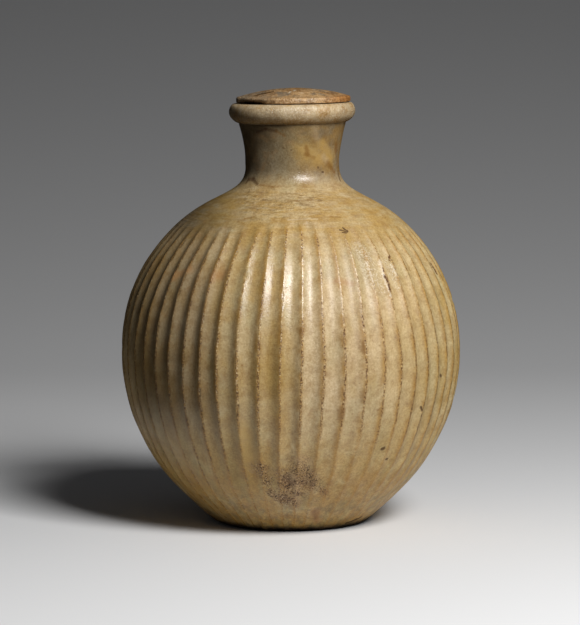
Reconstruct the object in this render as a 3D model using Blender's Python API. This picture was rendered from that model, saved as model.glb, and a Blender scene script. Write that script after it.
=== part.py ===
"""A lidded stone bottle: a round vessel cut with upright flutes, and the loose domed lid on its rim.

Metres, +Z up. The origin is the middle of the flat underside, and the front faces -Y, with +X on its right.
An azimuth is measured from the front, growing towards +X.
"""

import math

import bmesh
import bpy
import numpy as np

# Body, from the base up: heights are each measured from the line below
BASE_RADIUS = 0.0299
BELLY_RADIUS = 0.0673
SHOULDER_RADIUS = 0.0406
BELLY_HEIGHT = 0.0690  # base to the widest line
SHOULDER_RISE = 0.0533  # widest line to the shoulder line, where the flutes end
BASE_CUT = 0.0052  # how far the round of the lower body would run on below the base
FOOT_HEIGHT = 0.0173  # the lowest stretch, where the body fills out to the edge of the base
FOOT_POWER = 3  # how quickly that filling out dies away upwards

# Shoulder, neck and rim
WAIST_RISE = 0.0186  # shoulder line to the neck's narrowest line
SHOULDER_REACH = 0.0140  # how far the shoulder runs on in its own direction before it turns up
NECK_REACH = 0.0100  # how far below the waist the neck already runs upright
WAIST_RADIUS = 0.01855
NECK_RISE = 0.0172  # waist to the crease under the rim
NECK_TOP_RADIUS = 0.0212
RIM_RADIUS = 0.0249
RIM_UNDER = 0.0046  # crease to the rim's widest line
RIM_OVER = 0.0032  # widest line to the flat seat on top
SEAT_RADIUS = 0.0226  # outer edge of that seat

# Hollow
WALL = 0.0070
FLOOR_THICKNESS = 0.0120
BORE_RADIUS = 0.0125
MOUTH_EASE = 0.0010  # rounding between the bore and the seat

# Flutes
FLUTES = 52
FLUTE_DEPTH = 0.0010  # below the arrises, at the belly
FLUTE_END = 0.0035  # height of the scooped end under the shoulder line
FLUTE_FOOT_SHARE = 0.18  # depth left at the base, as a share
FLUTE_FULL_HEIGHT = 0.0516  # above this height a flute has its full depth
FADE_POWER = 1.5  # how slowly the depth grows just above the base
FIRST_ARRIS = math.radians(-2.8)
SPACING_DRIFT = math.radians(1.0)  # the flutes' spacing was set by eye
DRIFT_WAVES = 4
DRIFT_PHASE = math.radians(-29.0)

# The maker's slight lean of the neck and slope of the rim
NECK_LEAN = 0.0007
RIM_SLOPE_ACROSS = math.tan(math.radians(0.8))  # up towards +X
RIM_SLOPE_BACK = math.tan(math.radians(0.8))  # up towards +Y

# Lid
LID_GAP = 0.0003  # between the seat and the lid
LID_RADIUS = 0.0225
LID_EDGE = 0.0023
LID_EDGE_EASE = 0.0005  # rounding of the edge, below and above
LID_DOME = 0.0034
LID_SHIFT = 0.0004  # the lid lies a little to the right of the neck's axis
BOSS_DEPTH = 0.0025
BOSS_CLEARANCE = 0.0004

# Resolution
POINTS_PER_FLUTE = 4
LOWER_ROWS = 7
UPPER_ROWS = 4
END_ROWS = 2
SHOULDER_ROWS = 5
NECK_ROWS = 4
RIM_ROWS = 3
HOLLOW_ROWS = 9
DOME_ROWS = 4
OUTLINE_STEPS = 120
SHARP_ANGLE = math.radians(30)

BOTTLE_COLOUR = (0.48, 0.36, 0.21, 1.0)
LID_COLOUR = (0.33, 0.19, 0.09, 1.0)
BOTTLE_ROUGHNESS = 0.42
LID_ROUGHNESS = 0.50

SHOULDER_HEIGHT = BELLY_HEIGHT + SHOULDER_RISE
WAIST_HEIGHT = SHOULDER_HEIGHT + WAIST_RISE
CREASE_HEIGHT = WAIST_HEIGHT + NECK_RISE
SEAT_HEIGHT = CREASE_HEIGHT + RIM_UNDER + RIM_OVER


def ease(share):
    """An S-shaped step from 0 to 1 with level ends."""
    share = np.clip(share, 0.0, 1.0)
    return share * share * (3.0 - 2.0 * share)


def lower_radius(height):
    """Below the belly: a half-ellipse that would close BASE_CUT below the base, filled out at the foot to the base's edge."""
    half_height = BELLY_HEIGHT + BASE_CUT
    round_radius = BELLY_RADIUS * np.sqrt(1.0 - ((BELLY_HEIGHT - height) / half_height) ** 2)
    edge_radius = BELLY_RADIUS * math.sqrt(1.0 - (BELLY_HEIGHT / half_height) ** 2)
    foot = np.clip(1.0 - height / FOOT_HEIGHT, 0.0, 1.0) ** FOOT_POWER
    return round_radius + (BASE_RADIUS - edge_radius) * foot


def upper_half_height():
    """Half-height of the upper ellipse, the one that passes through the shoulder line."""
    return SHOULDER_RISE / math.sqrt(1.0 - (SHOULDER_RADIUS / BELLY_RADIUS) ** 2)


def upper_radius(height):
    """From the belly to the shoulder line: the upper half-ellipse."""
    return BELLY_RADIUS * np.sqrt(1.0 - ((height - BELLY_HEIGHT) / upper_half_height()) ** 2)


def body_radius(height):
    """The outline through the arrises, from the base to the shoulder line."""
    height = np.asarray(height, dtype=float)
    above = np.maximum(height, BELLY_HEIGHT)
    below = np.minimum(height, BELLY_HEIGHT)
    return np.where(height > BELLY_HEIGHT, upper_radius(above), lower_radius(below))


def body_heights():
    """Rows of the fluted body, even steps of angle on both ellipses, then the rows of the flutes' scooped ends."""
    low_angle = math.asin(BELLY_HEIGHT / (BELLY_HEIGHT + BASE_CUT))
    end_start = SHOULDER_HEIGHT - FLUTE_END
    high_angle = math.asin((end_start - BELLY_HEIGHT) / upper_half_height())
    lower = BELLY_HEIGHT - (BELLY_HEIGHT + BASE_CUT) * np.sin(np.linspace(low_angle, 0.0, LOWER_ROWS + 1))
    upper = BELLY_HEIGHT + upper_half_height() * np.sin(np.linspace(0.0, high_angle, UPPER_ROWS + 1))
    ends = np.linspace(end_start, SHOULDER_HEIGHT, END_ROWS + 1)
    return np.concatenate([lower, upper[1:], ends[1:]])


def shoulder_curve(share):
    """Radius and height from the shoulder line (share 0) to the waist (share 1): a cubic curve that leaves
    the body in the body's own direction and arrives upright."""
    fall = BELLY_RADIUS**2 * SHOULDER_RISE / (upper_half_height() ** 2 * SHOULDER_RADIUS)
    direction = np.array([-fall, 1.0]) / math.hypot(fall, 1.0)
    start = np.array([SHOULDER_RADIUS, SHOULDER_HEIGHT])
    end = np.array([WAIST_RADIUS, WAIST_HEIGHT])
    first = start + SHOULDER_REACH * direction
    second = end - np.array([0.0, NECK_REACH])
    share = np.asarray(share, dtype=float)[:, None]
    rest = 1.0 - share
    points = rest**3 * start + 3 * rest**2 * share * first + 3 * rest * share**2 * second + share**3 * end
    return points[:, 0], points[:, 1]


def neck_curve(share):
    """Radius and height from the waist to the crease: the neck flares with the square of the way up."""
    share = np.asarray(share, dtype=float)
    return WAIST_RADIUS + (NECK_TOP_RADIUS - WAIST_RADIUS) * share**2, WAIST_HEIGHT + NECK_RISE * share


def rim_curve():
    """Radius and height round the rolled rim, from the crease to the edge of the seat: a rounded slope
    out to the widest line, then a quarter of an ellipse in to the seat."""
    angle = np.linspace(0.0, math.pi / 2, RIM_ROWS + 1)
    under_radius = NECK_TOP_RADIUS + (RIM_RADIUS - NECK_TOP_RADIUS) * np.sin(angle)
    under_height = CREASE_HEIGHT + RIM_UNDER * (angle / (math.pi / 2) + 1.0 - np.cos(angle)) / 2
    over_radius = SEAT_RADIUS + (RIM_RADIUS - SEAT_RADIUS) * np.cos(angle)
    over_height = CREASE_HEIGHT + RIM_UNDER + RIM_OVER * np.sin(angle)
    return np.append(under_radius, over_radius[1:]), np.append(under_height, over_height[1:])


def hollow_curve():
    """Radius and height inside the body, from the floor up to the foot of the bore, which comes last: the
    outline moved inwards by the wall's thickness, down to the floor and in to the bore."""
    share = np.linspace(0.0, 1.0, OUTLINE_STEPS)
    heights = share * SHOULDER_HEIGHT
    curve_radius, curve_height = shoulder_curve(share[1:])
    radius = np.append(body_radius(heights), curve_radius)
    height = np.append(heights, curve_height)
    across, up = np.gradient(radius), np.gradient(height)
    length = np.hypot(across, up)
    inner_radius = radius - WALL * up / length
    inner_height = height + WALL * across / length
    above = inner_height > BELLY_HEIGHT
    bore_height = np.interp(-BORE_RADIUS, -inner_radius[above], inner_height[above])
    turn = np.linspace(0.0, math.pi, HOLLOW_ROWS + 1)
    rows = FLOOR_THICKNESS + (bore_height - FLOOR_THICKNESS) * (1.0 - np.cos(turn)) / 2
    row_radius = np.interp(rows, inner_height, inner_radius)
    row_radius[-1] = BORE_RADIUS
    return row_radius, rows


def azimuths(points_per_flute):
    """Azimuths round the body, the arrises among them: even steps with a slow wave in their spacing."""
    turn = 2.0 * math.pi * np.arange(FLUTES + 1) / FLUTES
    arrises = FIRST_ARRIS + turn + SPACING_DRIFT * np.sin(DRIFT_WAVES * turn + DRIFT_PHASE)
    steps = np.arange(FLUTES * points_per_flute) / points_per_flute
    return np.interp(steps, np.arange(FLUTES + 1), arrises)


def flute_depth(height, across):
    """Depth below the arrises at a height, `across` going from 0 to 1 between two arrises. The section is
    a parabola, as deep for its width all the way up, which fades towards the base and ends in a scoop."""
    fade = FLUTE_FOOT_SHARE + (1.0 - FLUTE_FOOT_SHARE) * ease(height / FLUTE_FULL_HEIGHT) ** FADE_POWER
    into_end = np.clip(1.0 - (SHOULDER_HEIGHT - height) / FLUTE_END, 0.0, 1.0)
    section = np.maximum(4.0 * across * (1.0 - across) - into_end**2, 0.0)
    return FLUTE_DEPTH * body_radius(height) / BELLY_RADIUS * fade * section


def place(radius, azimuth, height):
    """Points of a turned form, with the lean that grows from the belly to the rim and the rim's slope."""
    x = radius * np.sin(azimuth)
    y = -radius * np.cos(azimuth)
    lean = NECK_LEAN * ease((height - BELLY_HEIGHT) / (CREASE_HEIGHT - BELLY_HEIGHT))
    slope = ease((height - SHOULDER_HEIGHT) / (CREASE_HEIGHT - SHOULDER_HEIGHT))
    rise = slope * (RIM_SLOPE_ACROSS * x + RIM_SLOPE_BACK * y)
    return np.stack(np.broadcast_arrays(x + lean, y, height + rise), axis=-1)


def add_ring(mesh, points):
    """One ring of vertices."""
    return [mesh.verts.new(point) for point in points]


def bridge(mesh, low, high):
    """Faces between two rings that go the same way round, outwards when `high` follows `low`. The richer
    ring may have a whole number of vertices for each one of the other."""
    steps = max(len(low), len(high))
    low_step, high_step = steps // len(low), steps // len(high)
    for index in range(steps):
        following = index + 1
        corners = [
            low[index // low_step],
            low[following // low_step % len(low)],
            high[following // high_step % len(high)],
            high[index // high_step],
        ]
        mesh.faces.new(list(dict.fromkeys(corners)))


def fluted_rings(mesh):
    """The fluted body's rings, from the base to the shoulder line."""
    azimuth = azimuths(POINTS_PER_FLUTE)
    across = np.arange(len(azimuth)) % POINTS_PER_FLUTE / POINTS_PER_FLUTE
    rings = []
    for height in body_heights():
        radius = body_radius(height) - flute_depth(height, across)
        rings.append(add_ring(mesh, place(radius, azimuth, height)))
    return rings


def plain_rings(mesh, radii, heights, shift=0.0):
    """Rings of a plain turned stretch, one vertex to each flute."""
    rings = []
    for radius, height in zip(radii, heights):
        points = place(radius, azimuths(1), height)
        points[:, 0] += shift
        rings.append(add_ring(mesh, points))
    return rings


def material(name, colour, roughness):
    """A plain stone surface."""
    stone = bpy.data.materials.new(name)
    stone.use_nodes = True
    shader = stone.node_tree.nodes["Principled BSDF"]
    shader.inputs["Base Color"].default_value = colour
    shader.inputs["Roughness"].default_value = roughness
    shader.inputs["Metallic"].default_value = 0.0
    return stone


def turned_piece(name, mesh, rings, stone):
    """Joins the rings in order, closes the first and the last one, and makes the object."""
    for low, high in zip(rings, rings[1:]):
        bridge(mesh, low, high)
    mesh.faces.new(list(reversed(rings[0])))
    mesh.faces.new(rings[-1])
    data = bpy.data.meshes.new(name)
    mesh.to_mesh(data)
    mesh.free()
    data.shade_smooth()
    data.set_sharp_from_angle(angle=SHARP_ANGLE)
    data.materials.append(stone)
    piece = bpy.data.objects.new(name, data)
    bpy.context.scene.collection.objects.link(piece)
    return piece


def make_bottle():
    """The vessel as one skin: up the outside, over the rim, down the bore and along the hollow to its floor."""
    mesh = bmesh.new()
    rings = fluted_rings(mesh)
    share = np.linspace(0.0, 1.0, SHOULDER_ROWS + 1)[1:]
    rings += plain_rings(mesh, *shoulder_curve(share))
    share = np.linspace(0.0, 1.0, NECK_ROWS + 1)[1:-1]
    rings += plain_rings(mesh, *neck_curve(share))
    rings += plain_rings(mesh, *rim_curve())
    mouth_radii = [BORE_RADIUS + MOUTH_EASE, BORE_RADIUS]
    rings += plain_rings(mesh, mouth_radii, [SEAT_HEIGHT, SEAT_HEIGHT - MOUTH_EASE])
    radii, heights = hollow_curve()
    rings += plain_rings(mesh, radii[::-1], heights[::-1])
    return turned_piece("bottle", mesh, rings, material("bottle_stone", BOTTLE_COLOUR, BOTTLE_ROUGHNESS))


def make_lid():
    """The lid as one skin: the boss that drops into the mouth, the flat underside, the edge and the dome."""
    bottom = SEAT_HEIGHT + LID_GAP
    boss_radius = BORE_RADIUS - LID_SHIFT - BOSS_CLEARANCE
    inset = LID_RADIUS - LID_EDGE_EASE
    radii = [boss_radius, boss_radius, inset, LID_RADIUS, LID_RADIUS]
    heights = [bottom - BOSS_DEPTH, bottom, bottom, bottom + LID_EDGE_EASE, bottom + LID_EDGE - LID_EDGE_EASE]
    share = np.linspace(1.0, 0.0, DOME_ROWS + 1)[:-1]
    radii += list(inset * share)
    heights += list(bottom + LID_EDGE + LID_DOME * (1.0 - share**2))
    mesh = bmesh.new()
    rings = plain_rings(mesh, radii, heights, LID_SHIFT)
    return turned_piece("lid", mesh, rings, material("lid_stone", LID_COLOUR, LID_ROUGHNESS))


for existing in list(bpy.data.objects):
    bpy.data.objects.remove(existing)
make_bottle()
make_lid()
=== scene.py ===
"""The lidded fluted bottle with its looks: worn honey-coloured alabaster cut with upright flutes, and its brown lid.

Metres, +Z up, the front towards -Y. An azimuth is measured from the front and grows towards +X, the right.
The bottle and the lid keep the outline of their solids, so the outline's sizes repeat theirs.
"""

import math

import bpy
import numpy as np
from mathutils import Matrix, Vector


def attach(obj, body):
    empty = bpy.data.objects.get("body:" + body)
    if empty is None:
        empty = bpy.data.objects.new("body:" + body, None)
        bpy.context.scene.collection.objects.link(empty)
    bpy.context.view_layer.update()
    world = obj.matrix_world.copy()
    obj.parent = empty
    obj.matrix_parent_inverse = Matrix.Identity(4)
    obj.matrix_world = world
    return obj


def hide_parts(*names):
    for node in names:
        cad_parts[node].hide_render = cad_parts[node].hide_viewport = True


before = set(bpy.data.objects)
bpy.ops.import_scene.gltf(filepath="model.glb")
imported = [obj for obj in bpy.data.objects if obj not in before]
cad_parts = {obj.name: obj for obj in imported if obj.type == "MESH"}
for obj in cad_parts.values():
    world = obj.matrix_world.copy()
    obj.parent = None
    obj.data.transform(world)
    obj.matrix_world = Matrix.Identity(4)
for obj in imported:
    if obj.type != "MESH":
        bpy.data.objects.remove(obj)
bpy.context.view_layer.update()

# The photograph and the camera that took it
IMAGE_WIDTH, IMAGE_HEIGHT = 580, 625
FOCAL_PIXELS = 2830.0
CAMERA_AT = Vector((-0.00024, -1.118, 0.1924))
CAMERA_PITCH = math.radians(5.6)
SENSOR = 36.0

# Body, in the solid's sizes but for the worn edge of its base
BASE_RADIUS = 0.0299
BELLY_RADIUS = 0.0673
SHOULDER_RADIUS = 0.0406
BELLY_HEIGHT = 0.0690
SHOULDER_HEIGHT = BELLY_HEIGHT + 0.0533
BASE_CUT = 0.0052
FOOT_HEIGHT = 0.0173
FOOT_POWER = 3
BASE_EASE = 0.0015

# Shoulder, neck, rim and hollow, in the solid's sizes but for the groove under the rim
WAIST_HEIGHT = SHOULDER_HEIGHT + 0.0186
SHOULDER_REACH = 0.0140
NECK_REACH = 0.0100
WAIST_RADIUS = 0.01855
CREASE_HEIGHT = WAIST_HEIGHT + 0.0172
NECK_TOP_RADIUS = 0.0212
RIM_RADIUS = 0.0249
RIM_UNDER = 0.0046
RIM_OVER = 0.0032
SEAT_RADIUS = 0.0226
SEAT_HEIGHT = CREASE_HEIGHT + RIM_UNDER + RIM_OVER
CREASE_DEPTH = 0.00012
CREASE_REACH = 0.00030
WALL = 0.0070
FLOOR_THICKNESS = 0.0120
BORE_RADIUS = 0.0125
MOUTH_EASE = 0.0010

# Flutes: as many as the solid has and in the same places, cut a little deeper than its flat facets
FLUTES = 52
FIRST_ARRIS = math.radians(-2.8)
SPACING_DRIFT = math.radians(1.0)
DRIFT_WAVES = 4
DRIFT_PHASE = math.radians(-29.0)
FLUTE_DEPTH = 0.00128
FLUTE_END = 0.0040
FLUTE_FOOT_SHARE = 0.34
FLUTE_FULL_HEIGHT = 0.0470
FOOT_FADE = 1.5  # how fast they fade on the way down to the base

# How the flutes differ from one another
TOPS_DIFFER, TOPS_SEED = 0.0011, 3
CRISP_AT = math.radians(3.0)  # their ends are crisp round this azimuth, and fade over a longer stretch elsewhere
CRISP_REACH = math.radians(22.0)
SOFT_END = 2.3
HAND = (0.09, 0.03, 4)  # unevenness of their depth: share, length in metres and seed
LEFT_WALL_ROUND = 0.05  # how far each wall turns over into its arris: 0 as a parabola, 1 as a wave
RIGHT_WALL_ROUND = 0.72
FRONT_AT = math.radians(1.0)  # the flutes are cut deeper round this azimuth
FRONT_REACH = math.radians(26.0)
FRONT_DEEPER = 0.22
RIGHT_AT = math.radians(40.0)  # a little shallower round this one
RIGHT_REACH = math.radians(11.0)
RIGHT_SHALLOWER = 0.28
WORN_AT = math.radians(-50.0)  # and are worn shallow round this one, below the belly
WORN_REACH = math.radians(17.0)
WORN_SHARE = 0.72
WORN_FROM, WORN_TO = 0.048, 0.082  # heights between which that wear fades out
CROWDING = math.radians(-0.8)  # arrises pushed a little to the left at the front right
CROWDING_AT = math.radians(17.5)
CROWDING_REACH = math.radians(13.0)
FLUTE_TWIST = math.radians(20.0)  # to the right for each metre of height
SIDE_PULL = math.radians(-3.0)  # above the belly the arrises on the right side lean back to the left
SIDE_AT = math.radians(58.0)
SIDE_REACH = math.radians(30.0)
SIDE_FROM, SIDE_TO = 0.060, 0.095  # heights between which they lean over

# Wear of the arrises, and the unevenness of the stone: height, length and seed
WANDERS = ((0.00016, 0.014, 1), (0.00007, 0.0026, 2))
ARRIS_WEAR = 0.00006
ARRIS_REACH = 0.00035
CHIP_DEPTH = 0.00030
CHIPS, CHIP_ABOVE, CHIP_MOST = (0.0019, 5), 0.7, 1.3  # only the peaks of a random line become chips
CHIPPED, CHIPPED_SHARE, CHIPPED_MOST = (0.02, 6), 0.4, 1.5  # and more of them on some stretches than on others
BODY_SWELLS = ((0.00007, 0.035, 7), (0.00003, 0.009, 8))
BODY_SUNK = 0.00012  # keeps the swells inside the solid's outline
PLAIN_SWELLS = ((1.0, 0.022, 11), (0.4, 0.006, 12))
PLAIN_UNEVEN = 0.00009
LID_UNEVEN = 0.00010
EVEN_BELOW = 0.004  # height over which the unevenness grows from the flat base
WAVES = 28
WAVE_SPREAD = (0.7, 1.5)  # lengths of the single waves, as shares of the size asked for

# Dents and broken places: seen at a pixel of the photograph, reach and depth in metres
BOTTLE_DENTS = {
    "broken arris on the right, upper": ((380, 266), 0.0009, 0.00045),
    "broken arris on the right, second": ((383, 276), 0.0010, 0.00050),
    "broken arris on the right, third": ((387, 285), 0.0011, 0.00055),
    "broken arris on the right, lower": ((391, 296), 0.0009, 0.00040),
    "next arris, upper": ((391, 259), 0.0008, 0.00040),
    "next arris, lower": ((397, 271), 0.0009, 0.00040),
    "bird's foot": ((345, 230), 0.0010, 0.00035),
    "nick at a flute's top": ((249, 218), 0.0012, 0.00030),
    "notch low on the right": ((399, 488), 0.0012, 0.00060),
    "notch above it": ((411, 475), 0.0011, 0.00045),
    "crust, left": ((276, 478), 0.0030, 0.00035),
    "crust, middle": ((289, 481), 0.0022, 0.00060),
    "crust, right": ((306, 482), 0.0025, 0.00055),
    "pit in a front flute": ((305, 311), 0.0007, 0.00030),
    "hollow at the neck's foot": ((252, 181), 0.0022, 0.00030),
    "pit low on the neck": ((323, 172), 0.0008, 0.00035),
    "chip in the base's edge": ((367, 519), 0.0016, 0.00070),
    "next to it": ((361, 522), 0.0014, 0.00040),
}

# The lean of the neck, the slope of the rim and the lid, in the solids' sizes but for the lid's dome and edge
NECK_LEAN = 0.0007
RIM_SLOPE_ACROSS = math.tan(math.radians(0.8))
RIM_SLOPE_BACK = math.tan(math.radians(0.8))
LID_GAP = 0.0003
LID_RADIUS = 0.0225
LID_EDGE = 0.0023
LID_DOME = 0.0032
LID_SHIFT = 0.0004
LID_EDGE_UNDER = 0.0004
LID_EDGE_OVER = 0.0009
BOSS_DEPTH = 0.0025
BOSS_CLEARANCE = 0.0004

# Chips in the lid's edge: azimuth in degrees, height over the underside, width, height and depth in metres
LID_CHIPS = {
    "under the left edge": (-46.0, 0.0000, 0.0055, 0.0008, 0.0030),
    "beside it": (-64.0, 0.0000, 0.0040, 0.0007, 0.0020),
    "front left": (-24.0, 0.0000, 0.0018, 0.0006, 0.0004),
    "upper edge, left": (-70.0, 0.0022, 0.0020, 0.0009, 0.0005),
    "upper edge, front": (12.0, 0.0023, 0.0015, 0.0007, 0.0003),
    "right": (64.0, 0.0010, 0.0012, 0.0010, 0.0003),
    "back": (170.0, 0.0018, 0.0022, 0.0010, 0.0005),
}

# Fineness of the two meshes and of the curves that they follow
BODY_POINTS, SHOULDER_POINTS, NECK_POINTS, RIM_POINTS, HOLLOW_POINTS = 1500, 600, 300, 200, 200
BASE_CROWDING = 1.3  # a body curve's points crowd towards the base
POINTS_PER_FLUTE = 10
SECTION_CROWDING = 0.6  # how far a section's points move towards its arrises
BODY_STEP = 0.00102
NECK_STEP = 0.00088
CREASE_FINER = 4.0  # the crease has this many times more steps than it would, within this reach
CREASE_FINER_REACH = 0.0010
HOLLOW_STEP = 0.0080
OUTER_STEP = HOLLOW_STEP / 8
LID_POINTS, LID_RINGS, LID_EDGE_RINGS = 240, 45, 12
LID_POLE = 0.03  # share of the lid's radius at which its innermost ring lies
BOSS_EASE = 0.004  # distance from the boss over which the lid's chips fade out
RAY_LENGTH, RAY_POINTS = 0.2, 6000  # the part of a sight line that is searched for the outline


def ease(share):
    """An S-shaped step from 0 to 1 with level ends."""
    share = np.clip(share, 0.0, 1.0)
    return share * share * (3.0 - 2.0 * share)


def bump(distance, reach):
    """A round hump: 1 at no distance, falling as a bell whose reach is given."""
    return np.exp(-((distance / reach) ** 2))


def body_curve():
    """Radius and height of the body through the arrises: the lower half-ellipse with its filled-out foot and
    rounded edge, then the upper half-ellipse up to the shoulder line."""
    half_height = BELLY_HEIGHT + BASE_CUT
    low = np.linspace(0.0, 1.0, BODY_POINTS) ** BASE_CROWDING * BELLY_HEIGHT
    round_radius = BELLY_RADIUS * np.sqrt(1.0 - ((BELLY_HEIGHT - low) / half_height) ** 2)
    foot = np.clip(1.0 - low / FOOT_HEIGHT, 0.0, 1.0) ** FOOT_POWER
    edge = np.clip(1.0 - low / BASE_EASE, 0.0, 1.0)
    low_radius = round_radius + (BASE_RADIUS - round_radius[0]) * foot - BASE_EASE * (1.0 - np.sqrt(1.0 - edge**2))
    upper_half = (SHOULDER_HEIGHT - BELLY_HEIGHT) / math.sqrt(1.0 - (SHOULDER_RADIUS / BELLY_RADIUS) ** 2)
    high = np.linspace(BELLY_HEIGHT, SHOULDER_HEIGHT, BODY_POINTS)[1:]
    high_radius = BELLY_RADIUS * np.sqrt(1.0 - ((high - BELLY_HEIGHT) / upper_half) ** 2)
    return np.append(low_radius, high_radius), np.append(low, high)


def shoulder_curve():
    """Radius and height from the shoulder line to the waist: a cubic curve that leaves the body in the
    body's own direction and arrives upright."""
    rise = SHOULDER_HEIGHT - BELLY_HEIGHT
    upper_half = rise / math.sqrt(1.0 - (SHOULDER_RADIUS / BELLY_RADIUS) ** 2)
    fall = BELLY_RADIUS**2 * rise / (upper_half**2 * SHOULDER_RADIUS)
    direction = np.array([-fall, 1.0]) / math.hypot(fall, 1.0)
    start = np.array([SHOULDER_RADIUS, SHOULDER_HEIGHT])
    end = np.array([WAIST_RADIUS, WAIST_HEIGHT])
    first = start + SHOULDER_REACH * direction
    second = end - np.array([0.0, NECK_REACH])
    share = np.linspace(0.0, 1.0, SHOULDER_POINTS)[:, None]
    rest = 1.0 - share
    points = rest**3 * start + 3 * rest**2 * share * first + 3 * rest * share**2 * second + share**3 * end
    return points[:, 0], points[:, 1]


def neck_curve():
    """Radius and height from the waist to the seat's edge: a neck that widens with the square of the height, then a
    quarter wave under the rim and a quarter ellipse over it."""
    share = np.linspace(0.0, 1.0, NECK_POINTS)
    neck = WAIST_RADIUS + (NECK_TOP_RADIUS - WAIST_RADIUS) * share**2
    neck_height = WAIST_HEIGHT + (CREASE_HEIGHT - WAIST_HEIGHT) * share
    angle = np.linspace(0.0, math.pi / 2, RIM_POINTS)
    under = NECK_TOP_RADIUS + (RIM_RADIUS - NECK_TOP_RADIUS) * np.sin(angle)
    under_height = CREASE_HEIGHT + RIM_UNDER * (angle / (math.pi / 2) + 1.0 - np.cos(angle)) / 2
    over = SEAT_RADIUS + (RIM_RADIUS - SEAT_RADIUS) * np.cos(angle)
    over_height = CREASE_HEIGHT + RIM_UNDER + RIM_OVER * np.sin(angle)
    radius = np.concatenate([neck, under[1:], over[1:]])
    return radius, np.concatenate([neck_height, under_height[1:], over_height[1:]])


def resample(radius, height, step, finer_at=None):
    """Even steps along a profile, its two ends kept. Near the height `finer_at` its length counts for more, so that
    the steps are finer there."""
    length = np.hypot(np.diff(radius), np.diff(height))
    if finer_at is not None:
        length *= 1.0 + CREASE_FINER * bump((height[1:] + height[:-1]) / 2 - finer_at, CREASE_FINER_REACH)
    length = np.append(0.0, np.cumsum(length))
    at = np.linspace(0.0, length[-1], max(2, round(length[-1] / step)) + 1)
    return np.interp(at, length, radius), np.interp(at, length, height)


def hollow_curve():
    """Radius and height inside the body, from the bore's foot down to the floor: the outline moved in by
    the wall's thickness."""
    body_radius, body_height = resample(*body_curve(), OUTER_STEP)
    top_radius, top_height = resample(*shoulder_curve(), OUTER_STEP)
    radius = np.append(body_radius, top_radius[1:])
    height = np.append(body_height, top_height[1:])
    across, up = np.gradient(radius), np.gradient(height)
    length = np.hypot(across, up)
    inner_radius = radius - WALL * up / length
    inner_height = height + WALL * across / length
    high = inner_height > BELLY_HEIGHT
    bore_foot = np.interp(-BORE_RADIUS, -inner_radius[high], inner_height[high])
    rows = np.linspace(bore_foot, FLOOR_THICKNESS, HOLLOW_POINTS)
    return resample(np.interp(rows, inner_height, inner_radius), rows, HOLLOW_STEP)


def arris_azimuths():
    """The azimuth of each arris, the first one again at the end: even steps with a slow wave in them, and a few
    pushed to the left."""
    turn = 2.0 * math.pi * np.arange(FLUTES + 1) / FLUTES
    pushed = CROWDING * bump(turn - CROWDING_AT, CROWDING_REACH)
    return FIRST_ARRIS + turn + SPACING_DRIFT * np.sin(DRIFT_WAVES * turn + DRIFT_PHASE) + pushed


def place(radius, azimuth, height):
    """Points of a turned form, with the lean that grows from the belly to the rim and the rim's slope."""
    x = radius * np.sin(azimuth)
    y = -radius * np.cos(azimuth)
    lean = NECK_LEAN * ease((height - BELLY_HEIGHT) / (CREASE_HEIGHT - BELLY_HEIGHT))
    slope = ease((height - SHOULDER_HEIGHT) / (CREASE_HEIGHT - SHOULDER_HEIGHT))
    rise = slope * (RIM_SLOPE_ACROSS * x + RIM_SLOPE_BACK * y)
    return np.stack(np.broadcast_arrays(x + lean, y, height + rise), axis=-1)


def waves(points, size, seed):
    """Smooth unevenness of about unit height: the sum of sine waves of about the given size in seeded directions."""
    chance = np.random.default_rng(seed)
    directions = chance.normal(size=(WAVES, 3))
    directions /= np.linalg.norm(directions, axis=1, keepdims=True)
    lengths = size * chance.uniform(*WAVE_SPREAD, WAVES)
    phases = chance.uniform(0.0, 2.0 * math.pi, WAVES)
    total = np.zeros(points.shape[:-1])
    for direction, length, phase in zip(directions, lengths, phases):
        total += np.sin(points @ direction * (2.0 * math.pi / length) + phase)
    return total * math.sqrt(2.0 / WAVES)


def along_arrises(rows, size, seed):
    """One smooth random line for each arris: seeded heights `size` metres apart, joined by S-shaped steps, the first
    line again at the end."""
    at = np.arange(rows) * BODY_STEP / size
    knots = np.random.default_rng(seed).normal(size=(FLUTES, int(at[-1]) + 2))
    low = at.astype(int)
    share = ease(at - low)
    lines = knots[:, low] * (1.0 - share) + knots[:, low + 1] * share
    return np.concatenate([lines, lines[:1]])


def pixel_ray(pixel):
    """The direction in which the camera sees a pixel of the photograph."""
    right = (pixel[0] - IMAGE_WIDTH / 2) / FOCAL_PIXELS
    up = (IMAGE_HEIGHT / 2 - pixel[1]) / FOCAL_PIXELS
    sine, cosine = math.sin(CAMERA_PITCH), math.cos(CAMERA_PITCH)
    return np.array([right, cosine + up * sine, up * cosine - sine])


def seen_at(pixel):
    """The point of the turned outline that the camera sees at a pixel: the first one inside it along the ray."""
    radius, height = OUTLINE
    reach = np.linspace(0.0, 1.0, RAY_POINTS)[:, None] * RAY_LENGTH + (abs(CAMERA_AT.y) - RAY_LENGTH / 2)
    points = np.array(CAMERA_AT) + reach * pixel_ray(pixel)
    lean = NECK_LEAN * ease((points[:, 2] - BELLY_HEIGHT) / (CREASE_HEIGHT - BELLY_HEIGHT))
    inside = np.hypot(points[:, 0] - lean, points[:, 1]) < np.interp(points[:, 2], height, radius)
    return points[np.argmax(inside)]


def met(piece, pixel):
    """The point of a finished piece that the camera sees at a pixel: the first one that the ray meets."""
    found, point, _, _ = piece.ray_cast(CAMERA_AT, Vector(pixel_ray(pixel)).normalized())
    if not found:
        raise ValueError(f"{piece.name} is not seen at {pixel}")
    return np.array(point)


OUTLINE = tuple(np.concatenate(pair) for pair in zip(body_curve(), shoulder_curve(), neck_curve()))


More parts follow.
